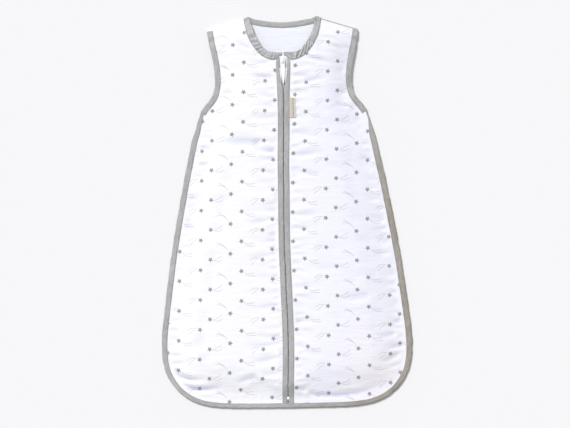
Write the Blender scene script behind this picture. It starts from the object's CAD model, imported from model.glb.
"""A sleeveless cotton bag with armholes, a bound neck and a zip down the middle of its front.

It lies in the XZ plane: hem at z = 0, shoulders near z = 700 mm, centred on x = 0. The flat back
is towards +Y and the front faces -Y. "Right" is +X. Shapes are worked out in mm as
(x, z, depth), where depth is counted forwards from the flat back.
"""
import functools
import math
from collections import namedtuple

import bpy
import bmesh
import numpy as np
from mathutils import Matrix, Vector


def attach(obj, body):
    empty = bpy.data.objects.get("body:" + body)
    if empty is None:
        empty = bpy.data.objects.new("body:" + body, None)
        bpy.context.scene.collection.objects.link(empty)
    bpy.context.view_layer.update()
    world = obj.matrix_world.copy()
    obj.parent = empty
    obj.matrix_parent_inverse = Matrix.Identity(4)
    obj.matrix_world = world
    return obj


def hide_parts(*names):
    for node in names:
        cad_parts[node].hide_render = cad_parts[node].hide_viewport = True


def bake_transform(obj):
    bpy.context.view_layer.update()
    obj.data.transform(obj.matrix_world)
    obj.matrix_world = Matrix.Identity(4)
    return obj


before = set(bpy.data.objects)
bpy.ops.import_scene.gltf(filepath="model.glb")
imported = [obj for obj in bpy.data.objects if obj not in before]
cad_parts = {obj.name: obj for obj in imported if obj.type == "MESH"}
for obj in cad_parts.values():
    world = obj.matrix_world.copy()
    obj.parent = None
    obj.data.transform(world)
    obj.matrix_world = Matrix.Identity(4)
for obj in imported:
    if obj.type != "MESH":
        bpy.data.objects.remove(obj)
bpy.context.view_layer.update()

SIDES = ((1, "right"), (-1, "left"))

# ------------------------------------------------------------------ main sizes (mm)
ORIGIN_DEPTH = 10.65            # depth of the plane y = 0
EDGE_DEPTH = 5.2                # depth of the front at its outer edge
PLATEAU = 17.0                  # depth of the front in its middle
SIDE_BAND = 12.0                # width kept flat along the sides and hem
ARM_BAND = 11.0                 # width of the armhole bindings
NECK_BACK_BAND = 10.5           # width of the binding at the back of the neck
BACK_FACE = -0.15               # depth of the bindings' rear faces
BACK_STITCH = -0.22             # depth of the stitches on the rear
RIM_MARGIN = 2.5                # cloth sheets stop this far inside their outline

# ------------------------------------------------------------------ outlines, (x, z) of the +X half
SIDE = [
    (149.0, 530.0), (151.4, 521.5), (154.1, 513.8), (159.4, 496.0), (165.3, 478.2),
    (172.8, 442.6), (180.5, 407.0), (187.3, 371.3), (194.0, 335.7), (200.4, 300.1),
    (206.2, 264.5), (211.2, 228.9), (216.0, 193.2), (220.6, 157.6), (223.4, 130.0),
    (224.0, 110.0), (222.6, 90.0), (218.9, 71.0), (214.4, 59.7), (209.6, 50.8),
    (203.6, 41.9), (196.2, 32.9), (186.5, 24.0), (173.5, 15.6), (158.0, 8.9),
    (141.0, 4.6), (112.0, 1.4), (75.0, 0.3), (38.0, 0.0), (0.0, 0.0)]
ARM_FOOT = SIDE[0]
ARM = [
    ARM_FOOT, (147.8, 531.8), (141.6, 540.6), (133.0, 550.5), (126.6, 560.5), (123.5, 572.0),
    (122.2, 586.0), (123.0, 603.0), (125.6, 620.7), (129.1, 638.5), (132.4, 654.0),
    (134.2, 665.2), (135.2, 674.3)]
SHOULDER = [(135.2, 674.3), (71.2, 693.7), (60.6, 700.0)]
SHOULDER_NORMAL = np.array([0.2901, 0.9570])
NECK_IN = [
    (60.6, 700.0), (57.6, 692.0), (55.5, 684.0), (52.0, 672.0), (45.8, 659.5),
    (39.9, 649.5), (32.6, 640.6), (24.5, 636.0), (13.0, 634.3), (0.0, 634.0)]
NECK_BACK = [(60.6, 700.0), (52.0, 696.4), (40.0, 693.6), (20.0, 690.7), (0.0, 689.6)]
# inner edge of the front neck binding, where it is sewn to the cloth
NECK_SEAM = [
    (69.8, 695.8), (68.9, 689.5), (67.2, 679.5), (63.8, 666.0), (58.7, 654.5), (51.2, 642.0),
    (41.6, 631.0), (32.0, 624.2), (23.0, 620.7), (15.5, 620.0), (11.2, 622.0), (8.2, 625.4),
    (4.6, 628.2), (0.0, 629.2)]
# the two edges of the binding strip beside the zip
PARTING = [
    (0.6, 0.0), (0.6, 566.0), (1.6, 573.0), (3.6, 581.0), (5.2, 590.0),
    (6.3, 600.0), (6.9, 609.0), (6.9, 626.0), (6.7, 634.0)]
STRIP_OUT = [
    (10.4, 0.0), (10.4, 300.0), (10.6, 520.0), (11.3, 565.0), (12.2, 585.0), (12.8, 600.0),
    (13.0, 622.0)]
# sideways drift of the zip along its height: (z, shift in x)
DRIFT = [
    (0.0, 0.8), (42.0, 1.0), (70.0, 1.9), (104.0, 2.5), (157.0, 1.9), (228.0, -0.3),
    (300.0, -2.2), (371.0, -2.0), (442.0, -1.9), (496.0, -0.6), (560.0, 0.0), (720.0, 0.0)]


# ------------------------------------------------------------------ curves and fields
def ease(t):
    t = np.clip(t, 0.0, 1.0)
    return t * t * (3 - 2 * t)


def even(path, step=None, count=None):
    """Evenly spaced points along a polyline."""
    lengths = np.hypot(*np.diff(path, axis=0).T)
    along = np.concatenate([[0], np.cumsum(lengths)])
    count = count or max(4, int(round(along[-1] / step)) + 1)
    t = np.linspace(0, along[-1], count)
    return np.stack([np.interp(t, along, path[:, k]) for k in range(path.shape[1])], 1)


def smooth_curve(points, step):
    """Evenly spaced points along a Catmull-Rom curve through the given points."""
    knots = np.array(points, float)
    knots = np.vstack([2 * knots[0] - knots[1], knots, 2 * knots[-1] - knots[-2]])
    out = []
    for i in range(1, len(knots) - 2):
        before, start, end, after = knots[i - 1:i + 3]
        for t in np.linspace(0, 1, 24, endpoint=False):
            out.append(0.5 * (2 * start + (end - before) * t
                              + (2 * before - 5 * start + 4 * end - after) * t * t
                              + (3 * start - 3 * end + after - before) * t ** 3))
    out.append(knots[-2])
    return even(np.array(out), step)


def directions(path):
    ahead = np.gradient(path, axis=0)
    return ahead / np.maximum(np.hypot(ahead[:, 0], ahead[:, 1])[:, None], 1e-9)


def normals(path):
    """Unit vectors square to a path, to the right of the direction of travel."""
    ahead = directions(path)
    return np.stack([ahead[:, 1], -ahead[:, 0]], 1)


def with_mirror(path):
    """A half path that ends on x = 0, carried on through its mirror image."""
    return np.vstack([path, (path[::-1] * [-1, 1])[1:]])


def running_mean(values, reach):
    count = 2 * reach + 1
    return np.convolve(np.pad(values, reach, mode="edge"), np.ones(count) / count, "valid")


def distance_to(points, line):
    """Distance of every point to a polyline."""
    best = np.full(len(points), 1e9)
    for start, end in zip(line[:-1], line[1:]):
        run = end - start
        t = np.clip(((points - start) @ run) / max(run @ run, 1e-12), 0, 1)
        gap = np.hypot(points[:, 0] - start[0] - run[0] * t, points[:, 1] - start[1] - run[1] * t)
        best = np.minimum(best, gap)
    return best


def inside_polygon(points, polygon):
    x, z = points[:, 0], points[:, 1]
    odd = np.zeros(len(points), bool)
    for (x0, z0), (x1, z1) in zip(polygon, np.roll(polygon, -1, axis=0)):
        if z0 != z1:
            odd ^= ((z0 > z) != (z1 > z)) & (x < (x1 - x0) * (z - z0) / (z1 - z0) + x0)
    return odd


@functools.lru_cache(maxsize=None)
def lattice(seed):
    return np.random.RandomState(seed).rand(128, 128) * 2 - 1


def noise(u, v, seed):
    """Smooth value noise between -1 and 1."""
    grid = lattice(seed)
    u, v = np.broadcast_arrays(np.asarray(u, float), np.asarray(v, float))
    i, j = np.floor(u).astype(int), np.floor(v).astype(int)
    part_u, part_v = u - i, v - j
    part_u = part_u * part_u * (3 - 2 * part_u)
    part_v = part_v * part_v * (3 - 2 * part_v)
    near = grid[i % 128, j % 128] * (1 - part_u) + grid[(i + 1) % 128, j % 128] * part_u
    far = (grid[i % 128, (j + 1) % 128] * (1 - part_u)
           + grid[(i + 1) % 128, (j + 1) % 128] * part_u)
    return near * (1 - part_v) + far * part_v


def rounded(value, power):
    """A sine or cosine bent towards a rounded box (power below 1)."""
    return math.copysign(abs(value) ** power, value)


SIDE_CURVE = smooth_curve(SIDE, 4.0)
ARM_CURVE = smooth_curve(ARM, 4.0)
SHOULDER_LINE = np.array(SHOULDER, float)
NECK_IN_CURVE = smooth_curve(NECK_IN, 3.0)
NECK_BACK_CURVE = smooth_curve(NECK_BACK, 3.0)
DRIFT_CURVE = smooth_curve(DRIFT, 6.0)
BELOW_NECK = [SIDE_CURVE[::-1], ARM_CURVE[1:], SHOULDER_LINE[1:]]
FRONT_EDGE = np.vstack(BELOW_NECK + [NECK_IN_CURVE[1:]])
BACK_EDGE = np.vstack(BELOW_NECK + [NECK_BACK_CURVE[1:]])


def outline_distance(points, edge):
    """Distance into the cloth from its outer edge (given for x >= 0), negative outside."""
    points = np.stack([np.abs(points[:, 0]), points[:, 1]], 1)
    polygon = np.vstack([edge, [[-50.0, edge[-1][1]], [-50.0, edge[0][1]]]])
    gap = distance_to(points, edge)
    return np.where(inside_polygon(points, polygon), gap, -gap)


def crown(x, z):
    """Depth of the front cloth's outer face, without its wrinkles."""
    x, z = np.broadcast_arrays(np.asarray(x, float), np.asarray(z, float))
    out_x, height = np.abs(x).ravel(), z.ravel()
    points = np.stack([out_x, height], 1)
    side = outline_distance(points, SIDE_CURVE[::-1])
    above_foot = np.hypot(out_x - ARM_FOOT[0], height - ARM_FOOT[1])
    side = np.where(height < ARM_FOOT[1], side, above_foot)
    # the rise from the sides is steeper near the middle of the hem
    run = 33 + (60 - 33) * ease(out_x / 60.0)
    side_rise = ease((side - SIDE_BAND - 2.0) / run)
    shoulder = ((SHOULDER[1][0] - out_x) * SHOULDER_NORMAL[0]
                + (SHOULDER[1][1] - height) * SHOULDER_NORMAL[1])
    shoulder_rise = ease((shoulder - 3.0) / 28.0)
    depth = EDGE_DEPTH + side_rise * shoulder_rise * (PLATEAU - EDGE_DEPTH)
    # the front sinks towards the back at each armhole
    arm = distance_to(points, ARM_CURVE)
    sink = (1 - ease((arm - 2.0) / 46.0)) * ease((height - 500.0) / 60.0)
    depth = depth - sink * 9.2 * ease((depth - 7.0) / 8.0)
    return depth.reshape(x.shape)


def crown_at(lift):
    """A depth function: the front's outer face raised by lift."""
    return lambda points: crown(points[:, 0], points[:, 1]) + lift


def flat_at(depth):
    return lambda points: np.full(len(points), depth)


# ------------------------------------------------------------------ meshes
def to_world(verts):
    """(x, z, depth) in mm to (x, y, z) in metres."""
    verts = np.asarray(verts, float)
    return np.stack([verts[:, 0], ORIGIN_DEPTH - verts[:, 2], verts[:, 1]], 1) / 1000.0


def drifted(verts):
    """Vertices moved sideways with the zip, less and less away from it."""
    verts = np.array(verts, float)
    shift = np.interp(verts[:, 1], DRIFT_CURVE[:, 0], DRIFT_CURVE[:, 1])
    verts[:, 0] += shift * np.exp(-(verts[:, 0] / 90.0) ** 2)
    return verts


def link_mesh(name, verts, faces):
    mesh = bpy.data.meshes.new(name)
    mesh.from_pydata([tuple(v) for v in to_world(verts)], [],
                     [tuple(int(i) for i in face) for face in faces])
    mesh.validate()
    mesh.update()
    obj = bpy.data.objects.new(name, mesh)
    bpy.context.scene.collection.objects.link(obj)
    return obj


def add_field(mesh, name, values):
    field = mesh.attributes.new(name, "FLOAT", "POINT")
    field.data.foreach_set("value", np.asarray(values, float).astype(np.float32))


def bake(obj):
    """Applies an object's modifiers."""
    graph = bpy.context.evaluated_depsgraph_get()
    mesh = bpy.data.meshes.new_from_object(obj.evaluated_get(graph))
    old = obj.data
    obj.modifiers.clear()
    obj.data = mesh
    bpy.data.meshes.remove(old)


def bend_with_flap(obj):
    """The piece bends with a folding flap, its weights set from the fold line."""
    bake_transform(obj)
    places = np.zeros(len(obj.data.vertices) * 3)
    obj.data.vertices.foreach_get("co", places)
    places = places.reshape(-1, 3) * 1000


def build(name, verts, faces, finish, part, replaces=(), uv=None, level=0, drift=True, fold=None):
    """Makes one piece and ties it to the moving part it belongs to."""
    verts = drifted(verts) if drift else np.asarray(verts, float)
    obj = link_mesh(name, verts, faces)
    mesh = obj.data
    mesh.materials.append(finish.material)
    if uv is not None:
        layer = mesh.uv_layers.new(name="UVMap")
        index = np.zeros(len(mesh.loops), int)
        mesh.loops.foreach_get("vertex_index", index)
        places = (np.asarray(uv, float)[index] / 1000.0).astype(np.float32)
        layer.data.foreach_set("uv", places.ravel())
    # "warm" grows towards the right and the hem, "fold" is negative in creases
    add_field(mesh, "warm", ease((verts[:, 0] + 20) / 190.0) * ease((640 - verts[:, 1]) / 300.0))
    if fold is not None:
        add_field(mesh, "fold", fold)
    mesh.polygons.foreach_set("use_smooth", np.ones(len(mesh.polygons), bool))
    shape = bmesh.new()
    shape.from_mesh(mesh)
    bmesh.ops.recalc_face_normals(shape, faces=shape.faces)
    shape.to_mesh(mesh)
    shape.free()
    if level:
        subdivision = obj.modifiers.new("sub", "SUBSURF")
        subdivision.levels = subdivision.render_levels = level
    bake(obj)
    if part.endswith("_flap"):
        bend_with_flap(obj)
    else:
        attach(obj, part)
    if replaces:
        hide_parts(*replaces)


def loft(rows, caps=True):
    """Vertices and faces of a skin over rows of points, each row a closed section."""
    rows = np.asarray(rows, float)
    count, size, _ = rows.shape
    faces = []
    for i in range(count - 1):
        for j in range(size):
            k = (j + 1) % size
            faces.append((i * size + j, i * size + k, (i + 1) * size + k, (i + 1) * size + j))
    if caps:
        faces.append(tuple(range(size))[::-1])
        faces.append(tuple((count - 1) * size + j for j in range(size)))
    return rows.reshape(-1, 3), faces


def joined_lofts(pieces):
    """One mesh from many separate lofts."""
    verts, faces, start = [], [], 0
    for rows in pieces:
        piece, skin = loft(rows)
        verts.append(piece)
        faces += [tuple(start + i for i in face) for face in skin]
        start += len(piece)
    return np.vstack(verts), faces


def ring_angles(count, shift=0.5):
    return [2 * math.pi * (k + shift) / count for k in range(count)]


def box_ring(x, z, half_width, half_depth, depth, count, power):
    """A level rounded-box section about (x, z, depth)."""
    return [(x + half_width * rounded(math.cos(a), power), z,
             depth + half_depth * rounded(math.sin(a), power)) for a in ring_angles(count)]


# ------------------------------------------------------------------ materials
class Shader:
    """A new material with a principled surface, and short ways to add nodes to it."""

    def __init__(self, name):
        self.material = bpy.data.materials.new(name)
        self.material.use_nodes = True
        self.tree = self.material.node_tree
        self.tree.nodes.clear()
        self.output = self.node("ShaderNodeOutputMaterial")
        self.surface = self.node("ShaderNodeBsdfPrincipled")
        self.link(self.surface.outputs[0], self.output.inputs[0])

    def node(self, kind, **settings):
        node = self.tree.nodes.new(kind)
        for key, value in settings.items():
            setattr(node, key, value)
        return node

    def link(self, source, target):
        self.tree.links.new(source, target)

    def put(self, socket, value):
        if isinstance(value, bpy.types.NodeSocket):
            self.link(value, socket)
        else:
            socket.default_value = value

    def set(self, **values):
        for key, value in values.items():
            self.put(self.surface.inputs[key.replace("_", " ")], value)

    def calc(self, operation, *values, clamp=False):
        node = self.node("ShaderNodeMath", operation=operation, use_clamp=clamp)
        for socket, value in zip(node.inputs, (values + (0.0, 0.0))[:3]):
            self.put(socket, value)
        return node.outputs[0]

    def times(self, first, second, clamp=False):
        return self.calc("MULTIPLY", first, second, clamp=clamp)

    def plus(self, first, second):
        return self.calc("ADD", first, second)

    def minus(self, first, second):
        return self.calc("SUBTRACT", first, second)

    def ramp(self, value, slope, start):
        return self.calc("MULTIPLY_ADD", value, slope, start, clamp=True)

    def fade(self, value, width):
        """1 where value is under 0, fading to 0 at width."""
        return self.calc("SUBTRACT", 1.0, self.calc("DIVIDE", value, width, clamp=True),
                         clamp=True)

    def length(self, x, z):
        return self.calc("SQRT", self.plus(self.times(x, x), self.times(z, z)))

    def cloth_place(self):
        """x and z on the cloth in mm."""
        split = self.node("ShaderNodeSeparateXYZ")
        self.link(self.node("ShaderNodeUVMap", uv_map="UVMap").outputs[0], split.inputs[0])
        return self.times(split.outputs[0], 1000.0), self.times(split.outputs[1], 1000.0)

    def field(self, name):
        return self.node("ShaderNodeAttribute", attribute_name=name).outputs["Fac"]

    def noise(self, vector, scale, detail=2.0, roughness=0.5):
        node = self.node("ShaderNodeTexNoise")
        self.link(vector, node.inputs["Vector"])
        node.inputs["Scale"].default_value = scale
        node.inputs["Detail"].default_value = detail
        node.inputs["Roughness"].default_value = roughness
        return node.outputs[0]

    def cloth_noise(self, x, z, rate_x, rate_z, detail=3.0, roughness=0.5):
        """Noise on the cloth, its rates in cells per mm."""
        node = self.node("ShaderNodeCombineXYZ")
        for socket, value in zip(node.inputs, (self.times(x, rate_x), self.times(z, rate_z), 0.0)):
            self.put(socket, value)
        return self.noise(node.outputs[0], 1.0, detail, roughness)

    def solid_noise(self, scale, detail, roughness=0.5):
        return self.noise(self.node("ShaderNodeTexCoord").outputs["Object"],
                          scale, detail, roughness)

    def wave(self, place, pitch):
        return self.calc("SINE", self.times(place, 2 * math.pi / pitch))

    def mix(self, factor, first, second):
        node = self.node("ShaderNodeMix", data_type="RGBA")
        self.put(node.inputs[0], factor)
        self.put(node.inputs[6], first)
        self.put(node.inputs[7], second)
        return node.outputs[2]

    def bump(self, height, strength, distance):
        node = self.node("ShaderNodeBump")
        node.inputs["Strength"].default_value = strength
        node.inputs["Distance"].default_value = distance
        self.link(height, node.inputs["Height"])
        self.link(node.outputs[0], self.surface.inputs["Normal"])


def rgb(*levels):
    """Linear colour from 0-255 sRGB levels."""
    def linear(level):
        level /= 255.0
        return level / 12.92 if level <= 0.04045 else ((level + 0.055) / 1.055) ** 2.4
    return tuple(linear(level) for level in levels) + (1.0,)


def circle_through(first, second, third):
    """Centre and radius of the circle through three points."""
    (x0, z0), (x1, z1), (x2, z2) = first, second, third
    square0, square1, square2 = x0 * x0 + z0 * z0, x1 * x1 + z1 * z1, x2 * x2 + z2 * z2
    area = 2 * (x0 * (z1 - z2) + x1 * (z2 - z0) + x2 * (z0 - z1))
    x = (square0 * (z1 - z2) + square1 * (z2 - z0) + square2 * (z0 - z1)) / area
    z = (square0 * (x2 - x1) + square1 * (x0 - x2) + square2 * (x1 - x0)) / area
    return x, z, math.hypot(x0 - x, z0 - z)


# the print: small five-pointed stars on a skewed repeat, each with two trailing arcs (mm)
REPEAT_X, REPEAT_RISE = 111.6, 16.9     # step sideways, and how far it climbs
REPEAT_Z, REPEAT_LEAN = 52.1, 1.3       # step upwards, and how far it leans
FIRST_STAR = (90.7, 356.7)
STAR_TIP, STAR_NOTCH = 4.25, 2.1        # radii
# (offset from the first star, turn in radians, three points of each arc)
MOTIFS = [
    ((0.0, 0.0), 0.30,
     [((5, -0.4), (13.4, 2.3), (21, 8.2)), ((6, -1.4), (14, -3.0), (22.5, 1.4))]),
    ((36.0, 10.0), 0.05,
     [((-4.5, 6.2), (-12.2, 14.2), (-22.4, 19.6)), ((-8.6, 10.6), (-16.4, 14.8), (-25, 15.4))]),
    ((55.0, -20.6), 0.45,
     [((4.6, -2.9), (13.2, -4.6), (23.4, -2.7)), ((7.2, -5.8), (15.6, -8.5), (25.2, -7.8))]),
    ((-18.1, -18.1), 0.15,
     [((-5.4, 1.6), (-13.2, 2.8), (-22.8, -2.9)), ((-8.2, 0.8), (-14.6, -2.9), (-20.6, -9.2))]),
]


def motif_place(shader, x, z, offset):
    """Place on the cloth counted from the nearest repeat of a motif."""
    x = shader.minus(x, FIRST_STAR[0] + offset[0])
    z = shader.minus(z, FIRST_STAR[1] + offset[1])
    column = shader.calc("ROUND", shader.calc("DIVIDE", x, REPEAT_X))
    x = shader.minus(x, shader.times(column, REPEAT_X))
    z = shader.minus(z, shader.times(column, REPEAT_RISE))
    row = shader.calc("ROUND", shader.calc("DIVIDE", z, REPEAT_Z))
    x = shader.minus(x, shader.times(row, REPEAT_LEAN))
    z = shader.minus(z, shader.times(row, REPEAT_Z))
    return x, z


def star_mask(shader, x, z, turn):
    radius = shader.length(x, z)
    fifth = 2 * math.pi / 5
    angle = shader.plus(shader.calc("ARCTAN2", z, x), 10 * math.pi + turn)
    # folded so that it is 0 at a notch and 36 degrees at a tip
    angle = shader.minus(shader.calc("MODULO", angle, fifth), fifth / 2)
    angle = shader.calc("ABSOLUTE", angle)
    run_x = STAR_TIP * math.cos(fifth / 2) - STAR_NOTCH
    run_z = STAR_TIP * math.sin(fifth / 2)
    run = math.hypot(run_x, run_z)
    across = shader.minus(shader.times(radius, shader.calc("COSINE", angle)), STAR_NOTCH)
    up = shader.times(radius, shader.calc("SINE", angle))
    outside = shader.minus(shader.times(across, run_z / run), shader.times(up, run_x / run))
    return shader.fade(shader.minus(outside, 0.12), 0.35)


def arc_mask(shader, x, z, arc):
    """A fine line on the circle through the arc's points, fading at its ends."""
    centre_x, centre_z, radius = circle_through(*arc)
    side = 1.0 if arc[1][1] > centre_z else -1.0
    from_x, from_z = shader.minus(x, centre_x), shader.minus(z, centre_z)
    off = shader.calc("ABSOLUTE", shader.minus(shader.length(from_x, from_z), radius))
    low, high = min(arc[0][0], arc[2][0]), max(arc[0][0], arc[2][0])
    from_middle = shader.calc("ABSOLUTE", shader.minus(x, (low + high) / 2))
    past_end = shader.minus(from_middle, (high - low) / 2 - 1.5)
    line = shader.times(shader.fade(shader.minus(off, 0.32), 0.45), shader.fade(past_end, 2.0))
    return shader.times(line, shader.calc("GREATER_THAN", shader.times(from_z, side), 0.0))


def star_print(shader, x, z):
    """Masks of the printed stars and of their trailing arcs."""
    stars, tails = [], []
    for offset, turn, arcs in MOTIFS:
        near_x, near_z = motif_place(shader, x, z, offset)
        stars.append(star_mask(shader, near_x, near_z, turn))
        tails += [arc_mask(shader, near_x, near_z, arc) for arc in arcs]

    def union(masks):
        return functools.reduce(lambda one, two: shader.calc("MAXIMUM", one, two), masks)
    return union(stars), union(tails)


def plain_colour(shader, cloud):
    return shader.mix(shader.times(cloud, 0.8, clamp=True), rgb(240, 243, 252), rgb(247, 248, 254))


def printed_colour(shader, x, z, cloud, slub):
    warm, fold = shader.field("warm"), shader.field("fold")
    white = shader.mix(shader.times(cloud, 0.9, clamp=True), rgb(245, 245, 253),
                       rgb(253, 253, 254))
    white = shader.mix(shader.times(shader.calc("POWER", warm, 3.0), 0.3), white,
                       rgb(245, 242, 243))
    # cooler to the right of the zip, warmer in the lower right corner
    right = shader.ramp(x, 1 / 70.0, 0.1)
    white = shader.mix(shader.times(right, 0.72), white, rgb(240, 240, 252))
    corner = shader.times(shader.ramp(z, -1 / 90.0, 1.9), shader.calc("POWER", warm, 2.0))
    white = shader.mix(shader.times(corner, 0.4), white, rgb(246, 240, 238))
    # blue shade in the folds, grey in the deepest
    deep = shader.times(shader.times(fold, -0.42), 1.0, clamp=True)
    white = shader.mix(deep, white, rgb(204, 209, 238))
    deepest = shader.calc("MULTIPLY_ADD", fold, -0.5, -0.55)
    white = shader.mix(shader.times(deepest, 1.0, clamp=True), white, rgb(184, 178, 180))
    # ink that covers unevenly over the slubs
    stars, tails = star_print(shader, x, z)
    worn = shader.plus(0.82, shader.times(slub, 0.3))
    colour = white
    for mask, cover, ink in ((tails, 0.52, rgb(168, 168, 174)), (stars, 0.93, rgb(141, 141, 141))):
        covered = shader.times(shader.times(mask, cover), worn, clamp=True)
        colour = shader.mix(covered, colour, ink)
    return colour


def cotton(name, printed):
    """Light cotton: an open plain weave with soft slubs and crinkles."""
    shader = Shader(name)
    x, z = shader.cloth_place()
    slub_across = shader.cloth_noise(x, z, rate_x=0.05, rate_z=0.9)
    slub_up = shader.cloth_noise(x, z, rate_x=0.9, rate_z=0.05)
    weave = shader.times(shader.wave(x, pitch=0.85), shader.wave(z, pitch=0.85))
    crinkle = shader.cloth_noise(x, z, rate_x=0.045, rate_z=0.16, detail=4.0, roughness=0.6)
    cloud = shader.cloth_noise(x, z, rate_x=0.006, rate_z=0.012, detail=2.0)
    if printed:
        colour = printed_colour(shader, x, z, cloud, slub_across)
    else:
        colour = plain_colour(shader, cloud)
    shader.set(Base_Color=colour, Roughness=0.86, Sheen_Weight=0.25, Sheen_Roughness=0.5,
               Specular_IOR_Level=0.18)
    slubs = shader.times(shader.plus(slub_across, slub_up), 0.35)
    height = shader.plus(shader.times(weave, 0.10), slubs)
    height = shader.plus(height, shader.times(crinkle, 1.7))
    shader.bump(height, strength=0.55, distance=0.0011)
    return shader.material


def binding_cloth(name, lift, fold_shade):
    """Grey bias binding with a diagonal weave, warmer and darker where "warm" is high."""
    shader = Shader(name)
    x, z = shader.cloth_place()
    weave = shader.times(shader.wave(shader.plus(x, z), pitch=1.0),
                         shader.wave(shader.minus(x, z), pitch=1.0))
    patch = shader.cloth_noise(x, z, rate_x=0.10, rate_z=0.10)
    streak = shader.cloth_noise(x, z, rate_x=0.42, rate_z=0.05, roughness=0.6)
    cool = shader.mix(patch, rgb(166 + lift, 166 + lift, 166 + lift * 1.6),
                      rgb(188 + lift, 188 + lift, 189 + lift * 1.5))
    hot = shader.mix(patch, rgb(146, 139, 127), rgb(168, 161, 149))
    colour = shader.mix(shader.times(shader.field("warm"), 0.85), cool, hot)
    pale = shader.times(shader.minus(streak, 0.42), 0.9, clamp=True)
    colour = shader.mix(pale, colour, rgb(205, 205, 201))
    # darker in the puckers and lighter on their ridges, within limits
    shade = shader.calc("MULTIPLY_ADD", shader.field("fold"), fold_shade, 1.0)
    shade = shader.calc("MINIMUM", shader.calc("MAXIMUM", shade, 0.52), 1.42)
    scaled = shader.node("ShaderNodeVectorMath", operation="SCALE")
    shader.link(colour, scaled.inputs[0])
    shader.link(shade, scaled.inputs["Scale"])
    shader.set(Base_Color=scaled.outputs[0], Roughness=0.8, Sheen_Weight=0.3,
               Specular_IOR_Level=0.22)
    height = shader.plus(shader.times(weave, 0.22), shader.times(streak, 1.2))
    shader.bump(height, strength=0.6, distance=0.0007)
    return shader.material


def tape_cloth(name, dark, light, pitch=0.9):
    """Ribbed woven tape."""
    shader = Shader(name)
    x, z = shader.cloth_place()
    rib = shader.wave(z, pitch)
    cross = shader.wave(x, pitch * 0.8)
    dirt = shader.cloth_noise(x, z, rate_x=0.3, rate_z=0.08)
    shader.set(Base_Color=shader.mix(dirt, dark, light), Roughness=0.75, Sheen_Weight=0.2)
    height = shader.plus(shader.times(rib, 0.5), shader.times(cross, 0.3))
    shader.bump(height, strength=0.5, distance=0.0004)
    return shader.material


def label_cloth(name):
    """Beige woven tab with a broken zigzag line and a darker side towards the zip."""
    shader = Shader(name)
    x, z = shader.cloth_place()
    rib = shader.wave(z, pitch=0.7)
    dirt = shader.cloth_noise(x, z, rate_x=0.5, rate_z=0.3)
    # zigzag about x = 15.7 mm, turning every 2.4 mm
    zigzag = shader.times(shader.calc("PINGPONG", z, 2.4), 1.05)
    off = shader.calc("ABSOLUTE", shader.minus(shader.minus(x, 15.7), zigzag))
    dash = shader.ramp(shader.wave(z, pitch=4.1), 2.5, 1.6)
    line = shader.times(shader.fade(shader.minus(off, 0.55), 0.35), dash)
    # the darker side ends at x = 19.6 mm, over a width of 1.4 mm
    dark = shader.ramp(x, -1 / 1.4, 19.6 / 1.4)
    colour = shader.mix(dirt, rgb(222, 214, 203), rgb(240, 234, 225))
    colour = shader.mix(shader.times(dark, 0.7), colour, rgb(216, 205, 190))
    colour = shader.mix(shader.times(line, 0.95), colour, rgb(104, 90, 74))
    shader.set(Base_Color=colour, Roughness=0.72, Sheen_Weight=0.3)
    height = shader.plus(shader.times(rib, 0.5), shader.times(line, 0.6))
    shader.bump(height, strength=0.6, distance=0.0004)
    return shader.material


def plastic(name, dark, light):
    shader = Shader(name)
    grain = shader.solid_noise(scale=260.0, detail=4.0, roughness=0.6)
    shader.set(Base_Color=shader.mix(grain, dark, light),
               Roughness=shader.plus(0.32, shader.times(grain, 0.2)),
               Subsurface_Weight=0.08, Subsurface_Radius=(0.002, 0.002, 0.002))
    shader.bump(grain, strength=0.12, distance=0.0002)
    return shader.material


def thread(name, dark, light):
    shader = Shader(name)
    grain = shader.solid_noise(scale=900.0, detail=2.0)
    shader.set(Base_Color=shader.mix(grain, dark, light), Roughness=0.6, Sheen_Weight=0.4)
    shader.bump(grain, strength=0.3, distance=0.0002)
    return shader.material


Finish = namedtuple("Finish", "material slot")
PRINT = Finish(cotton("printed_cotton", printed=True), "printed_cotton")
PLAIN = Finish(cotton("lining_cotton", printed=False), "lining_cotton")
BIND = Finish(binding_cloth("grey_binding", lift=0.0, fold_shade=0.30), "grey_binding")
BIND_NECK = Finish(binding_cloth("grey_neck_binding", lift=4.2, fold_shade=0.46), "grey_binding")
TAPE = Finish(tape_cloth("zip_tape_cloth", rgb(236, 237, 240), rgb(250, 250, 252)),
              "zip_tape_cloth")
LABEL = Finish(label_cloth("label_cloth"), "label_cloth")
PLASTIC = Finish(plastic("zip_plastic", rgb(244, 245, 247), rgb(253, 253, 254)), "zip_plastic")
GREY_THREAD = Finish(thread("grey_thread", rgb(150, 150, 147), rgb(182, 182, 179)),
                     "grey_binding")
DARK_THREAD = Finish(thread("dark_thread", rgb(96, 93, 84), rgb(120, 117, 106)), "grey_binding")
PALE_THREAD = Finish(thread("pale_thread", rgb(222, 220, 214), rgb(240, 239, 234)), "label_cloth")


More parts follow.
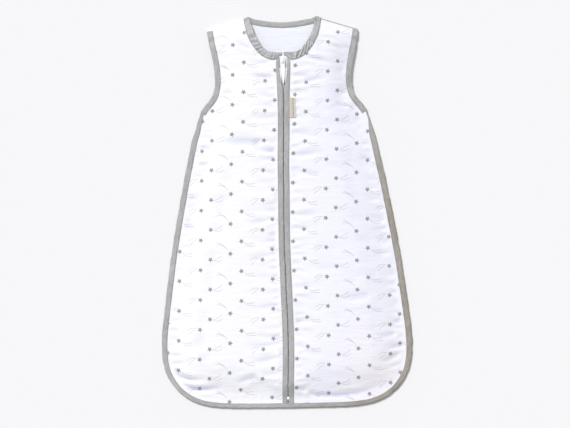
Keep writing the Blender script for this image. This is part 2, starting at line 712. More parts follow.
# ------------------------------------------------------------------ cloth sheets
def sheet(edge, step, parting=None):
    """Points and quads of a grid filling an outline, its rim moved on to the outline.

    With a parting line the sheet is one half, outside that line; without, it is full width.
    """
    def depth_in(points):
        gap = outline_distance(points, edge)
        to_shoulder = distance_to(np.abs(points), SHOULDER_LINE)
        at_shoulder = (to_shoulder <= np.abs(gap) + 0.02) & (points[:, 1] > 674.0)
        gap = gap - np.where(at_shoulder, 1.0, RIM_MARGIN)
        if parting is not None:
            past = points[:, 0] - np.interp(points[:, 1], parting[:, 1], parting[:, 0])
            gap = np.minimum(gap, past)
        return gap

    columns = np.arange(-228 if parting is None else 0.0, 232.0, step)
    levels = np.arange(-4.0, 708.0, step)
    grid_x, grid_z = np.meshgrid(columns, levels, indexing="ij")
    centres = np.stack([(grid_x[:-1, :-1] + step / 2).ravel(),
                        (grid_z[:-1, :-1] + step / 2).ravel()], 1)
    kept = (depth_in(centres) > 0).reshape(len(columns) - 1, len(levels) - 1)
    size = len(levels)
    corners = [i * size + j for i, j in zip(*np.nonzero(kept))]
    faces = np.array([(c, c + size, c + size + 1, c + 1) for c in corners])
    used, faces = np.unique(faces, return_inverse=True)
    faces = faces.reshape(-1, 4)
    points = np.stack([grid_x.ravel(), grid_z.ravel()], 1)[used]
    # rim points are those with fewer than four cells around them
    rim = np.bincount(faces.ravel(), minlength=len(points)) < 4
    probe = 0.5
    for _ in range(4):
        moved = points[rim]
        gap = depth_in(moved)
        slopes = [(depth_in(moved + shift) - depth_in(moved - shift)) / (2 * probe)
                  for shift in (np.array([probe, 0]), np.array([0, probe]))]
        steepness = np.maximum(np.hypot(*slopes), 0.3)
        for axis, slope in enumerate(slopes):
            moved[:, axis] -= gap * slope / steepness ** 2 * 0.9
        points[rim] = moved
    return points, faces


def slab_mesh(points, faces, top, bottom):
    """A closed thin layer between two depth fields over the same grid."""
    count = len(points)
    verts = np.vstack([np.column_stack([points, top]), np.column_stack([points, bottom])])
    skin = [tuple(face) for face in faces]
    skin += [tuple(int(i) + count for i in face[::-1]) for face in faces]
    edges = {(int(a), int(b)): True for face in faces for a, b in zip(face, np.roll(face, -1))}
    skin += [(b, a, a + count, b + count) for a, b in edges if (b, a) not in edges]
    return verts, skin


def smooth_field(values, faces, rounds):
    """Averages a value over its neighbours in the grid."""
    for _ in range(rounds):
        total, count = np.zeros(len(values)), np.zeros(len(values))
        for k in range(4):
            here, there = faces[:, k], faces[:, (k + 1) % 4]
            for target, source in ((here, there), (there, here)):
                np.add.at(total, target, values[source])
                np.add.at(count, target, 1)
        values = 0.5 * values + 0.5 * total / np.maximum(count, 1)
    return values


def held(gap, band_width, fade):
    """1 within a band's width of a seam, fading to 0 beyond it."""
    return 1 - ease((gap - band_width) / fade)


def near_seam(gap, share, reach):
    return share * np.exp(-np.maximum(gap, 0) / reach)


def wrinkle_seed(points, near, seed):
    """Fine level wrinkles, strongest near the seams."""
    x, z = points[:, 0], points[:, 1]
    bend = 6.0 * noise(x / 90.0, z / 140.0, seed + 5)
    fine = noise(x / 70.0 + 3, (z + bend) / 9.5, seed)
    broad = noise(x / 120.0 + 9, (z + bend) / 21.0, seed + 1)
    small = noise(x / 26.0, z / 15.0, seed + 2)
    return near * (0.75 * fine + 1.15 * broad) + 0.22 * small


# single creases: (points with x counted outwards from the middle, half width, depth)
LEFT_CREASES = [
    ([(199, 70), (190, 59), (176, 54), (158, 54), (140, 58)], 3.3, 4.0),
    ([(186, 41), (168, 35.5), (146, 35.5), (128, 38), (108, 43)], 3.6, 4.2),
    ([(14, 588), (38, 591), (68, 595)], 3.0, 1.8),
    ([(58, 641), (70, 646), (85, 656)], 2.8, 1.7),
    ([(60, 58), (84, 50), (104, 47)], 4.6, 1.8),
    ([(48, 474), (72, 477), (105, 476), (142, 470)], 7.5, 2.3),
    ([(13, 624), (24, 617.5), (38, 615.5), (62, 618)], 2.6, 2.0),
    ([(12, 459), (26, 458), (44, 462), (58, 464)], 3.4, 1.7),
    ([(12, 424), (30, 423), (52, 427)], 3.2, 1.5),
    ([(110, 561), (98, 564), (86, 563)], 2.8, 2.0),
    ([(146, 466), (134, 464), (120, 468)], 3.0, 2.0),
    ([(152, 434), (138, 437), (118, 442)], 3.0, 2.0)]
RIGHT_CREASES = [
    ([(42, 26), (52, 21.5), (90, 20.5), (126, 25), (160, 37), (186, 54)], 4.2, 2.6),
    ([(14, 36), (28, 33), (46, 33.5)], 3.2, 2.2),
    ([(14, 112), (30, 104), (64, 95)], 4.6, 2.2),
    ([(40, 626), (54, 622), (75, 618), (98, 615)], 3.0, 2.5),
    ([(13, 576), (39, 581), (69, 588), (92, 591)], 3.2, 2.3),
    ([(18, 604), (30, 607), (44, 611)], 2.6, 1.4),
    ([(66, 663), (84, 660), (100, 655), (110, 650)], 2.8, 1.6),
    ([(84, 645), (98, 642), (112, 634)], 2.8, 1.7),
    ([(112, 537), (98, 541), (84, 540)], 3.0, 1.8),
    ([(12, 520), (22, 519), (34, 521)], 2.8, 1.6),
    ([(190, 130), (172, 127), (150, 130)], 4.0, 1.6),
    ([(196, 92), (178, 84), (154, 82)], 4.0, 1.7),
    ([(140, 200), (118, 197), (90, 200)], 6.5, 1.6)]
# random creases that run inwards from an outer seam; pairs are the limits of a random draw
OUTER_CREASES = [
    dict(seam=SIDE_CURVE[::-1], inset=12.0, low=60.0, high=522, length=(14, 40),
         rise=(-0.20, 0.20), half_width=(2.2, 3.4), depth=(0.9, 1.9), gap=(12.0, 22.0)),
    dict(seam=ARM_CURVE, inset=11.0, low=548.0, high=660, length=(14, 34),
         rise=(-0.25, 0.05), half_width=(2.3, 3.2), depth=(0.6, 1.3), gap=(14.0, 24.0)),
]


def crease_set(side, seed):
    """All creases of one front half, as (points, half width, depth)."""
    random = np.random.RandomState(seed)
    out = []
    # outwards from the zip
    z = 48.0
    while z < 604:
        long = random.rand() < 0.3
        length = random.uniform(38, 78) if long else random.uniform(14, 34)
        rise = random.uniform(-0.16, 0.12)
        x = 10.5 + (1.5 if z > 570 else 0)
        points = [(x + length * t, z + length * (rise * t + 0.10 * random.uniform(-1, 1) * t * t))
                  for t in np.linspace(0, 1, 4)]
        half_width = random.uniform(2.3, 3.4) + (1.6 if long else 0)
        out.append((points, half_width, random.uniform(0.9, 2.0)))
        z += random.uniform(10.0, 17.0)
    for kind in OUTER_CREASES:
        z = kind["low"]
        while z < kind["high"]:
            length = random.uniform(*kind["length"])
            rise = random.uniform(*kind["rise"])
            seam = kind["seam"]
            x = float(np.interp(z, seam[:, 1], seam[:, 0])) - kind["inset"]
            points = [(x - length * t, z + length * rise * t) for t in np.linspace(0, 1, 4)]
            half_width = random.uniform(*kind["half_width"])
            out.append((points, half_width, random.uniform(*kind["depth"])))
            z += random.uniform(*kind["gap"])
    # short ones up from the hem
    for x in np.arange(40, 150, 17.0):
        x = x + random.uniform(-5, 5)
        length = random.uniform(10, 24)
        points = [(x, 12.0), (x + random.uniform(-3, 3), 12.0 + length)]
        half_width = random.uniform(2.2, 3.2)
        out.append((points, half_width, random.uniform(0.4, 0.9)))
    return out + (LEFT_CREASES if side < 0 else RIGHT_CREASES)


def creases(points, side, seed):
    """Grooves with a soft roll of cloth on either side."""
    total = np.zeros(len(points))
    each = np.arange(len(points))
    for path, half_width, depth in crease_set(side, seed):
        line = even(np.array(path, float), count=14)
        run = line[1:] - line[:-1]
        offset = points[:, None, :] - line[:-1][None]
        t = np.clip((offset * run).sum(2) / (run * run).sum(1), 0, 1)
        offset = offset - t[:, :, None] * run
        gaps = np.hypot(offset[:, :, 0], offset[:, :, 1])
        nearest = gaps.argmin(1)
        gap = gaps[each, nearest]
        along = (nearest + t[each, nearest]) / (len(line) - 1)
        run, offset = run[nearest], offset[each, nearest]
        # counted positive above the crease, whichever way it runs
        cross = run[:, 0] * offset[:, 1] - run[:, 1] * offset[:, 0]
        above = gap * (np.sign(cross) * np.sign(run[:, 0] + 1e-9))
        fade = (1 - ease((along - 0.35) / 0.65)) * np.where(gap < 3.5 * half_width, 1.0, 0.0)
        wide = half_width * (1 + 0.5 * along)
        total += depth * fade * (-np.exp(-(above / wide) ** 2)
                                 + 0.5 * np.exp(-((above + 2.0 * wide) / (1.3 * wide)) ** 2)
                                 + 0.35 * np.exp(-((above - 2.1 * wide) / (1.4 * wide)) ** 2))
    return total


SETTLE_FRAMES = 22
CLOTH_SETTINGS = dict(
    quality=6, mass=0.12, tension_stiffness=18, compression_stiffness=18, shear_stiffness=6,
    bending_stiffness=0.5, tension_damping=8, compression_damping=8, air_damping=3.0,
    vertex_group_mass="pin", pin_stiffness=1.0,
    vertex_group_shrink="grow", shrink_min=0.0, shrink_max=-0.11,  # negative shrink: it grows
    use_pressure=True)


def settle(points, faces, base, pinned, grow, pressure):
    """Lets a sheet with a little too much cloth crease up, its rim held; returns how it moved."""
    mesh = bpy.data.meshes.new("settle")
    mesh.from_pydata([tuple(v) for v in to_world(np.column_stack([points, base]))], [],
                     [tuple(int(i) for i in face) for face in faces])
    mesh.update()
    obj = bpy.data.objects.new("settle", mesh)
    bpy.context.scene.collection.objects.link(obj)
    pin_group = obj.vertex_groups.new(name="pin")
    grow_group = obj.vertex_groups.new(name="grow")
    for i in range(len(points)):
        if pinned[i]:
            pin_group.add([i], 1.0, "REPLACE")
        grow_group.add([i], float(grow[i]), "REPLACE")
    cloth = obj.modifiers.new("cloth", "CLOTH")
    for key, value in CLOTH_SETTINGS.items():
        setattr(cloth.settings, key, value)
    cloth.settings.uniform_pressure_force = pressure
    cloth.settings.effector_weights.gravity = 0
    cloth.collision_settings.use_collision = False
    cloth.point_cache.frame_start = 1
    cloth.point_cache.frame_end = SETTLE_FRAMES
    scene = bpy.context.scene
    for frame in range(1, SETTLE_FRAMES + 1):
        scene.frame_set(frame)
    settled = obj.evaluated_get(bpy.context.evaluated_depsgraph_get())
    places = np.zeros(len(points) * 3)
    settled.data.vertices.foreach_get("co", places)
    places = places.reshape(-1, 3) * 1000
    scene.frame_set(1)
    bpy.data.objects.remove(obj)
    return np.stack([places[:, 0] - points[:, 0], places[:, 2] - points[:, 1],
                     (ORIGIN_DEPTH - places[:, 1]) - base], 1)


# ------------------------------------------------------------------ front and back panels
def front_grid():
    """Grid of a front half: points, faces, depth, how free each point is, nearness to seams."""
    parting = smooth_curve([(x + 2.4, z) for x, z in PARTING], 4.0)
    parting = np.vstack([[parting[0, 0], -20], parting, [parting[-1, 0], 720]])
    points, faces = sheet(FRONT_EDGE, step=3.3, parting=parting)
    strip = np.array(STRIP_OUT)
    zip_gap = points[:, 0] - np.interp(points[:, 1], strip[:, 1], strip[:, 0])
    side_gap = distance_to(points, SIDE_CURVE)
    arm_gap = distance_to(points, ARM_CURVE)
    hold = np.maximum.reduce([
        held(zip_gap, 1, 6.0), held(side_gap, 13, 7.0), held(arm_gap, 12, 6.0),
        held(distance_to(points, NECK_IN_CURVE), 15.5, 6.0),
        held(distance_to(points, SHOULDER_LINE), 1, 6.0)])
    near = np.maximum.reduce([
        near_seam(zip_gap, 1.0, 42.0), near_seam(side_gap - 12, 0.85, 34.0),
        near_seam(arm_gap - 11, 0.6, 24.0), np.full(len(points), 0.24)])
    return points, faces, crown(points[:, 0], points[:, 1]), 1 - hold, near


def front_uv(points, side):
    """Cloth places; the print leans on the lower right and is a little shorter on the left."""
    uv = points * [side, 1]
    if side > 0:
        uv[:, 0] -= 0.024 * np.maximum(357.0 - uv[:, 1], 0.0)
    else:
        uv[:, 1] = 496.0 + (uv[:, 1] - 496.0) / 1.0165
    return np.vstack([uv, uv])


def front_panel(grid, side, tag, seed):
    points, faces, base, free, near = grid
    wrinkles = 1.5 * wrinkle_seed(points + [seed * 37.0, 0], near, seed)
    wrinkles = (wrinkles + creases(points, side, seed + 3)) * free
    # part of the wrinkles shapes the cloth before it settles, and a little more is added after
    before, after = 0.7, 0.15
    moved = settle(points, faces, base + before * wrinkles, 1 - free > 0.5, near,
                   pressure=0.35)
    moved[:, 2] += before * wrinkles + after * wrinkles
    lift = np.clip(moved[:, 2] * free, -3.6, 4.2)
    shift = np.clip(moved[:, :2], -1.2, 1.2) * free[:, None]
    face = base + lift
    placed = (points + shift) * [side, 1]
    turned = faces if side > 0 else faces[:, ::-1]
    uv = front_uv(points, side)
    fold = smooth_field(lift, faces, 2) - smooth_field(lift, faces, 40)
    verts, skin = slab_mesh(placed, turned, face, face - 0.9)
    build("front_panel_" + tag, verts, skin, PRINT, tag + "_flap",
          ("front_shell_" + tag, "front_flap_shell_" + tag), uv, level=1,
          fold=np.concatenate([fold, fold]))
    verts, skin = slab_mesh(placed, turned, face - 1.15, face - 1.8)
    build("front_lining_cloth_" + tag, verts, skin, PLAIN, tag + "_flap",
          ("front_lining_" + tag, "front_flap_lining_" + tag), uv, level=1)


def back_panel():
    """The back and its lining, each one sheet across both halves."""
    points, faces = sheet(BACK_EDGE, step=4.6)
    mirrored = np.abs(points)
    side_gap = distance_to(mirrored, SIDE_CURVE)
    hold = np.maximum.reduce([
        held(side_gap, 12, 8.0), held(distance_to(mirrored, ARM_CURVE), 11, 7.0),
        held(distance_to(mirrored, NECK_BACK_CURVE), 10, 8.0),
        held(distance_to(mirrored, SHOULDER_LINE), 1, 6.0)])
    near = np.maximum(near_seam(side_gap - 12, 0.9, 40.0), 0.3)
    wrinkles = wrinkle_seed(points, near, 47) * (1 - hold)
    moved = settle(points, faces, 0.55 * wrinkles, hold > 0.5, near, pressure=0.0)
    lift = (moved[:, 2] + 0.55 * wrinkles) * (1 - hold)
    lift = np.clip(lift, -1.6, 3.0)
    # the back lies on a flat face, so it mostly lifts off it
    lift = np.where(lift < 0, lift * 0.25, lift)
    uv = np.vstack([points, points])
    verts, skin = slab_mesh(points, faces, 1.0 + lift, 0.1 + lift)
    build("back_panel", verts, skin, PRINT, "bag", ("back_shell",), uv, level=1,
          fold=np.concatenate([-lift, -lift]) * 0.5)
    # the lining shows soft folds of its own
    folds = np.maximum(0, noise(points[:, 0] / 40.0, points[:, 1] / 14.0, 71))
    inside = lift + 0.5 * (1 - hold) * folds
    verts, skin = slab_mesh(points, faces, 1.9 + inside, 1.25 + lift)
    build("back_lining_cloth", verts, skin, PLAIN, "bag", ("back_lining",), uv, level=1)


FRONT_GRID = front_grid()
front_panel(FRONT_GRID, 1, "right", seed=11)
front_panel(FRONT_GRID, -1, "left", seed=29)
back_panel()

# ------------------------------------------------------------------ bindings
# section of a binding: shares of its width on the front leg, angles (degrees) round the folded
# edge, and shares on the back leg
FRONT_LEG = (0.0, 0.015, 0.05, 0.12, 0.2, 0.3, 0.42, 0.54, 0.66, 0.77, 0.86)
NOSE_ANGLES = (72, 52, 30, 10, -10, -30, -52, -72)
BACK_LEG = (0.86, 0.6, 0.3, 0.05, 0.0)


def puckers(along, across, seed, gather):
    """Small cross ribs where the binding is eased round a curve."""
    slanted = along + 2.2 * noise(along / 60.0, 0.0, seed + 3) * across
    fine = noise(slanted / 2.6, across * 0.9, seed)
    wide = noise(slanted / 6.5, across * 0.7 + 5, seed + 1)
    slow = noise(along / 34.0, 1.0, seed + 2)
    beat = (slanted + 3.4 * noise(along / 13.0, 0.5, seed + 4)) / 7.4
    ridge = 1 - 2.1 * np.abs(np.sin(math.pi * beat)) ** 0.8
    ridge = ridge * (0.8 + 0.4 * noise(along / 13.0, 2.5, seed + 8))
    gathered = 1.25 * ridge + 0.3 * noise(slanted / 2.6, across * 0.5, seed + 6) + 0.3
    return 0.16 * fine + 0.34 * wide + 0.22 * slow + gather * gathered


def band(name, edge, seam, top, bottom, seed, gather, part, replaces=(), nose=1.0,
         outline=0.35, bulge=0.35, finish=BIND):
    """A folded binding: a front leg, a rounded fold along the edge and a back leg.

    top and bottom give the depth of its faces, outline the waviness of its edges,
    nose the reach of the rounded fold and bulge the height of the front leg's arch.
    """
    steps = np.hypot(*np.diff((edge + seam) / 2, axis=0).T)
    along = np.concatenate([[0], np.cumsum(steps)])
    width = np.hypot(*(edge - seam).T)
    outward = (edge - seam) / np.maximum(width, 1e-6)[:, None]
    wave = (outline * noise(along / 11.0, 0.0, seed + 9)
            + 0.6 * outline * noise(along / 4.0, 0.0, seed + 10))
    outer = edge + outward * (wave * (1 + 1.6 * gather))[:, None]
    sewn = seam - outward * (0.5 * outline * noise(along / 9.0, 3.0, seed + 11))[:, None]
    columns, uvs, folds = [], [], []

    def at(share):
        return sewn + (outer - sewn) * share

    def add(place, depth, across, fold):
        columns.append(np.column_stack([place, depth]))
        uvs.append(np.column_stack([across, along]))
        folds.append(fold)

    for t in FRONT_LEG:
        rise = ease(t / 0.05)
        stitch = -0.28 * math.exp(-((t - 0.13) / 0.035) ** 2)
        pucker = puckers(along, t * 10, seed, gather) * ease(t / 0.1)
        depth = (top(at(t)) - 0.75 * (1 - rise) + rise * bulge * math.sin(math.pi * t)
                 + stitch + pucker)
        add(at(t), depth, t * width, pucker - (0.9 if 0.08 < t < 0.17 else 0.0))
    high, last_fold = columns[-1][:, 2], folds[-1]
    low = bottom(at(BACK_LEG[0]))
    middle, half = (high + low) / 2, (high - low) / 2
    reach = np.minimum(half, nose * 2.2)
    for angle in np.radians(NOSE_ANGLES):
        place = outer - outward * (reach * (1 - math.cos(angle)))[:, None]
        add(place, middle + half * math.sin(angle), width + (math.pi / 2 - angle) * 1.2,
            last_fold * max(0.0, math.sin(angle)))
    for t in BACK_LEG:
        pucker = 0.5 * puckers(along, t * 10 + 20, seed + 20, gather) * ease(t / 0.1)
        add(at(t), bottom(at(t)) - pucker, width * 2 + 4 - t * width, pucker)
    verts, faces = loft(np.stack(columns, 1))
    build(name, verts, faces, finish, part, replaces, np.stack(uvs, 1).reshape(-1, 2), level=1,
          fold=np.stack(folds, 1).ravel())


# (place along a stitch as a share of its length, share of its radius)
STITCH_PROFILE = ((-0.5, 0.0), (-0.42, 0.62), (-0.2, 1.0), (0.2, 1.0), (0.42, 0.62), (0.5, 0.0))


def stitches(name, path, depth, part, pitch=2.9, length=1.9, radius=0.24, finish=GREY_THREAD):
    """A row of separate short thread stitches laid along a path."""
    path = even(path, step=pitch)
    pieces = []
    for centre, ahead, across, level in zip(path, directions(path), normals(path), depth(path)):
        rows = []
        for share, swell in STITCH_PROFILE:
            size = radius * max(swell, 0.05)
            raised = 0.10 if abs(share) < 0.3 else -0.08
            ring = []
            for angle in ring_angles(6, 0):
                x, z = centre + ahead * length * share + across * size * math.cos(angle)
                ring.append((x, z, level + (size * math.sin(angle) + raised)))
            rows.append(ring)
        pieces.append(rows)
    build(name, *joined_lofts(pieces), finish, part)


def sewing_line(edge, seam, share=0.13):
    """The line a share of the binding's width in from its seam."""
    return seam + (edge - seam) * share


def rim_top(points):
    return np.maximum(crown(points[:, 0], points[:, 1]) + 0.75, 5.75)


def side_and_hem_binding():
    """One binding round both sides and the hem, narrowing towards the armholes."""
    edge = even(with_mirror(smooth_curve(SIDE, 2.2)), step=2.2)
    right = edge[:, 0] > 0
    hem_width = SIDE_BAND - 2.9
    width = hem_width + (2.9 + np.where(right, -0.6, -1.2)) * ease((edge[:, 1] - 30) / 90.0)
    thin = np.where(right, 0.28, 0.66)
    narrowing = ease((edge[:, 1] - np.where(right, 478.0, 486.0)) / 44.0)
    width = width * (thin + (1 - thin) * (1 - narrowing))
    seam = edge + normals(edge) * width[:, None]
    band("side_and_hem_binding", edge, seam, rim_top, flat_at(BACK_FACE), 101,
         np.full(len(edge), 0.10), "bag", ("perimeter_binding",), nose=1.1, bulge=0.3)
    line = sewing_line(edge, seam, 0.14)
    stitches("side_and_hem_stitches", line, lambda points: rim_top(points) - 0.02, "bag")
    stitches("side_and_hem_stitches_back", line, flat_at(BACK_STITCH), "bag")


def armhole_bindings():
    """Each opening has one binding on its front edge and one on its back edge."""
    right_edge = smooth_curve(ARM, 2.0)
    right_seam = right_edge - normals(right_edge) * ARM_BAND
    gather = 0.16 * ease(np.linspace(1, 0, len(right_edge)) * 1.6)
    for side, tag in SIDES:
        edge, seam = right_edge * [side, 1], right_seam * [side, 1]
        band("armhole_binding_front_" + tag, edge, seam, crown_at(0.75), crown_at(-2.5),
             131 + side, gather, "bag", ("armhole_binding_" + tag,))
        band("armhole_binding_back_" + tag, edge, seam, flat_at(2.6), flat_at(BACK_FACE),
             141 + side, gather, "bag")
        line = sewing_line(edge, seam)
        stitches("armhole_stitches_" + tag, line, crown_at(0.72), "bag")
        stitches("armhole_stitches_back_" + tag, line, flat_at(BACK_STITCH), "bag")


def neck_back_binding():
    edge = with_mirror(smooth_curve(NECK_BACK, 2.0))
    seam = edge - normals(edge) * NECK_BACK_BAND
    band("neck_binding_back_piece", edge, seam, flat_at(3.1), flat_at(BACK_FACE), 151,
         np.full(len(edge), 0.10), "bag", ("neck_binding_back",), bulge=0.5)
    stitches("neck_back_stitches", sewing_line(edge, seam), flat_at(3.05), "bag")


def neck_front_bindings():
    """One piece each side, gathered where the curve is tight and more so on the right."""
    middle_gap = 0.9
    edge = even(smooth_curve(NECK_IN, 2.0), count=86)
    seam = even(smooth_curve(NECK_SEAM, 2.0), count=86)
    end = np.nonzero(edge[:, 0] > middle_gap)[0][-1] + 1
    edge, seam = edge[:end], seam[:end]
    seam[:, 0] = np.maximum(seam[:, 0], middle_gap)
    t = np.linspace(0, 1, end)
    gathers = {
        "right": 0.95 * ease((t - 0.28) / 0.2) * (0.75 + 0.25 * np.sin(t * 19)),
        "left": 0.75 * np.exp(-((t - 0.50) / 0.14) ** 2) + 0.18 * ease((t - 0.6) / 0.2)}
    for side, tag in SIDES:
        band("neck_binding_front_" + tag, edge * [side, 1], seam * [side, 1], crown_at(0.85),
             crown_at(-2.6), 161 + side, gathers[tag] * 1.15 + 0.12, tag + "_flap",
             ("neck_binding_" + tag,), bulge=0.5, outline=0.3, finish=BIND_NECK)
        stitches("neck_stitches_" + tag, sewing_line(edge, seam) * [side, 1], crown_at(0.8),
                 tag + "_flap")


def strip_top(points):
    """The strips beside the zip dip under the neck binding at their upper ends."""
    return crown(points[:, 0], points[:, 1]) + 0.8 - 1.1 * ease((points[:, 1] - 613) / 8.0)


def zip_strips():
    """Binding strips on both sides of the zip, from the hem to the neck."""
    z = np.concatenate([np.arange(7.0, 626.0, 2.4), [627.0]])

    def strip_edge(outline, reach):
        outline = np.array(outline)
        x = np.interp(z, outline[:, 1], outline[:, 0])
        return np.column_stack([running_mean(x, reach), z])

    edge, seam = strip_edge(PARTING, 3), strip_edge(STRIP_OUT, 5)
    gather = 0.10 + 0.22 * ease((z - 560) / 40.0)
    for side, tag in SIDES:
        band("zip_binding_strip_" + tag, edge * [side, 1], seam * [side, 1], strip_top,
             crown_at(-2.4), 171 + side, gather, tag + "_flap",
             ("zip_binding_" + tag, "zip_binding_foot_" + tag), outline=0.16, nose=0.7)
        stitches("zip_strip_stitches_" + tag, sewing_line(edge, seam, 0.16) * [side, 1],
                 crown_at(0.85), tag + "_flap")


def shoulder_rolls():
    """The two layers meet at each shoulder and are rolled together into a flat oval."""
    outer_end, neck_end = np.array([134.4, 674.4]), np.array([66.5, 695.3])
    middle_depth = 2.85
    # side, tag, outward shift, half thickness, half depth, finish
    rolls = ((1, "right", 0.35, 1.35, 2.75, BIND), (-1, "left", 0.1, 1.2, 2.3, PRINT))
    for side, tag, shift, half_thick, half_depth, finish in rolls:
        line = outer_end + (neck_end - outer_end) * np.linspace(0, 1, 40)[:, None]
        line[:, 1] += 0.35 * noise(np.linspace(0, 9, 40), 0.0, 181 + side)
        rows = []
        for i, centre in enumerate(line):
            ring = []
            for k, angle in enumerate(ring_angles(14, 0)):
                out = shift + half_thick * math.cos(angle) - 1.0
                uneven = 1.0 + 0.05 * noise(i / 3.0, k, 190)
                x, z = centre + SHOULDER_NORMAL * out
                ring.append((x * side, z, middle_depth + half_depth * math.sin(angle) * uneven))
            rows.append(ring)
        verts, faces = loft(rows)
        build("shoulder_roll_" + tag, verts, faces, finish, "bag", ("shoulder_seam_" + tag,),
              verts[:, :2], level=1)


side_and_hem_binding()
armhole_bindings()
neck_back_binding()
neck_front_bindings()
zip_strips()
shoulder_rolls()

# ------------------------------------------------------------------ zip
CHAIN_DEPTH = 13.4
TOOTH_PITCH = 2.0
# stations across a tooth: (x, half height, half depth)
TOOTH = [(-0.35, 0.38, 0.55), (0.1, 0.5, 0.85), (0.9, 0.42, 0.8), (1.5, 0.36, 0.75),
         (2.2, 0.6, 0.9), (3.1, 0.62, 0.85), (3.3, 0.4, 0.5)]


def zip_spread(z):
    """How far each side moves out from the middle at the open top."""
    return 0.9 * float(ease((z - 607) / 10.0))


def zip_sink(z):
    """How far the zip drops where the front is too shallow for it."""
    return min(0.0, float(crown(0.0, z)) - 3.1 - CHAIN_DEPTH)


def zip_tape(side, tag):
    rows = []
    outer = 14.6
    for z in np.arange(24.0, 626.0, 3.0):
        inner, sink = 2.0 + zip_spread(z), zip_sink(z)
        # section, (x, depth)
        profile = ((inner, 13.3), (inner + 0.4, 13.62), (inner + 2.4, 13.66), (8.0, 13.62),
                   (outer, 13.6), (outer + 0.15, 13.35), (outer, 13.1), (8.0, 13.08),
                   (inner + 2.4, 13.08), (inner + 0.4, 13.05))
        rows.append([(x * side, z, depth + sink + 0.06 * float(noise(z / 9.0, x / 4.0, 201)))
                     for x, depth in profile])
    verts, faces = loft(rows)
    build("zip_tape_cloth_" + tag, verts, faces, TAPE, tag + "_flap", ("zip_tape_" + tag,),
          verts[:, :2], level=1)


def zip_teeth(side, tag):
    """Rounded blocks with a narrow neck, the two sides set half a pitch apart."""
    teeth = []
    for z in np.arange(25.0 + (TOOTH_PITCH / 2 if side < 0 else 0), 625.0, TOOTH_PITCH):
        spread, middle = zip_spread(z), CHAIN_DEPTH + zip_sink(z)
        teeth.append([[((x + spread) * side, z + half_height * rounded(math.cos(angle), 0.6),
                        middle + half_depth * rounded(math.sin(angle), 0.6))
                       for angle in ring_angles(8)] for x, half_height, half_depth in TOOTH])
    build("zip_chain_" + tag, *joined_lofts(teeth), PLASTIC, tag + "_flap", ("zip_teeth_" + tag,))


def zip_end_stop(side, tag):
    rows = []
    for i, z in enumerate(np.linspace(626.6, 630.6, 7)):
        swell = 0.55 + 0.45 * math.sin(math.pi * i / 6)
        rows.append([((3.4 + 1.3 * swell * math.cos(angle)) * side, z,
                      CHAIN_DEPTH + 1.25 * swell * math.sin(angle))
                     for angle in ring_angles(12, 0)])
    build("zip_end_stop_" + tag, *loft(rows), PLASTIC, tag + "_flap", ("zip_top_stop_" + tag,),
          level=1)


def zip_foot():
    """The stop at the foot of the zip, and the short bar tack under it."""
    rows = []
    depth = float(crown(0.0, 20.0)) + 1.0
    for i, z in enumerate(np.linspace(15.4, 20.6, 9)):
        # the last sine can fall a hair below zero, and its root is then not real
        swell = 0.62 + 0.38 * max(0.0, math.sin(math.pi * i / 8)) ** 0.5
        rows.append(box_ring(0, z, 2.2 * swell, 1.1 * swell, depth, 16, 0.6))
    build("zip_foot_stop", *loft(rows), PLASTIC, "bag", ("zip_bottom_stop",), level=1)
    stitches("foot_bar_tack", np.array([[-3.2, 11.4], [3.2, 11.4]]), crown_at(1.3), "bag",
             pitch=1.1, length=1.6, radius=0.4, finish=DARK_THREAD)


for zip_side, zip_tag in SIDES:
    zip_tape(zip_side, zip_tag)
    zip_teeth(zip_side, zip_tag)
    zip_end_stop(zip_side, zip_tag)
zip_foot()


# ------------------------------------------------------------------ slider and puller
# slider outline: (z, half width)
SLIDER = [(611.2, 2.4), (611.6, 3.1), (613.0, 3.6), (616.0, 4.0), (619.0, 4.5), (622.0, 4.9),
          (624.6, 4.9), (626.2, 4.2), (627.3, 2.9), (627.8, 1.6)]
# bridge over the slider: (x, z, depth)
BRIDGE = [(0, 612.9, 15.2), (0, 613.1, 16.6), (0, 613.9, 18.6), (0, 615.4, 20.1),
          (0, 617.6, 20.7), (0, 620.0, 20.75), (0, 622.3, 20.3), (0, 624.0, 19.0),
          (0, 625.0, 17.0), (0, 625.3, 15.2)]
# tag of the puller: (z, half width)
PULLER_TAG = [(613.2, 1.6), (612.6, 2.6), (611.4, 3.2), (609.0, 3.55), (604.0, 3.7),
              (598.0, 3.6), (592.0, 3.1), (586.5, 2.3), (582.0, 1.6), (579.2, 1.1),
              (578.0, 0.7), (577.6, 0.35)]
PULLER_DEPTH = 18.6


def moulded(name, rows, part, replaces=()):
    build(name, *loft(rows), PLASTIC, part, replaces, level=1, drift=False)


def tube(name, path, half_height, half_width, part, closed=False, replaces=()):
    """A bar with an oval section swept along a path of (x, z, depth) points."""
    path = np.array(path, float)
    if closed:
        ahead = np.roll(path, -1, axis=0) - np.roll(path, 1, axis=0)
    else:
        ahead = np.vstack([path[1:], path[-1:]]) - np.vstack([path[:1], path[:-1]])
    ahead /= np.linalg.norm(ahead, axis=1)[:, None]
    # any axis the path never runs along
    fixed = [1.0, 0, 0] if abs(ahead[:, 0]).max() < 0.5 else [0, 0, 1.0]
    up = np.cross(ahead, np.array(fixed))
    up /= np.linalg.norm(up, axis=1)[:, None]
    across = np.cross(ahead, up)
    rows = np.array([[path[i] + up[i] * half_height * math.cos(angle)
                      + across[i] * half_width * math.sin(angle)
                      for angle in ring_angles(12, 0)] for i in range(len(path))])
    if closed:
        count = len(path) * 12
        verts, faces = loft(np.concatenate([rows, rows[:1]]), caps=False)
        verts, faces = verts[:count], [tuple(i % count for i in face) for face in faces]
    else:
        verts, faces = loft(rows)
    build(name, verts, faces, PLASTIC, part, replaces, level=1, drift=False)


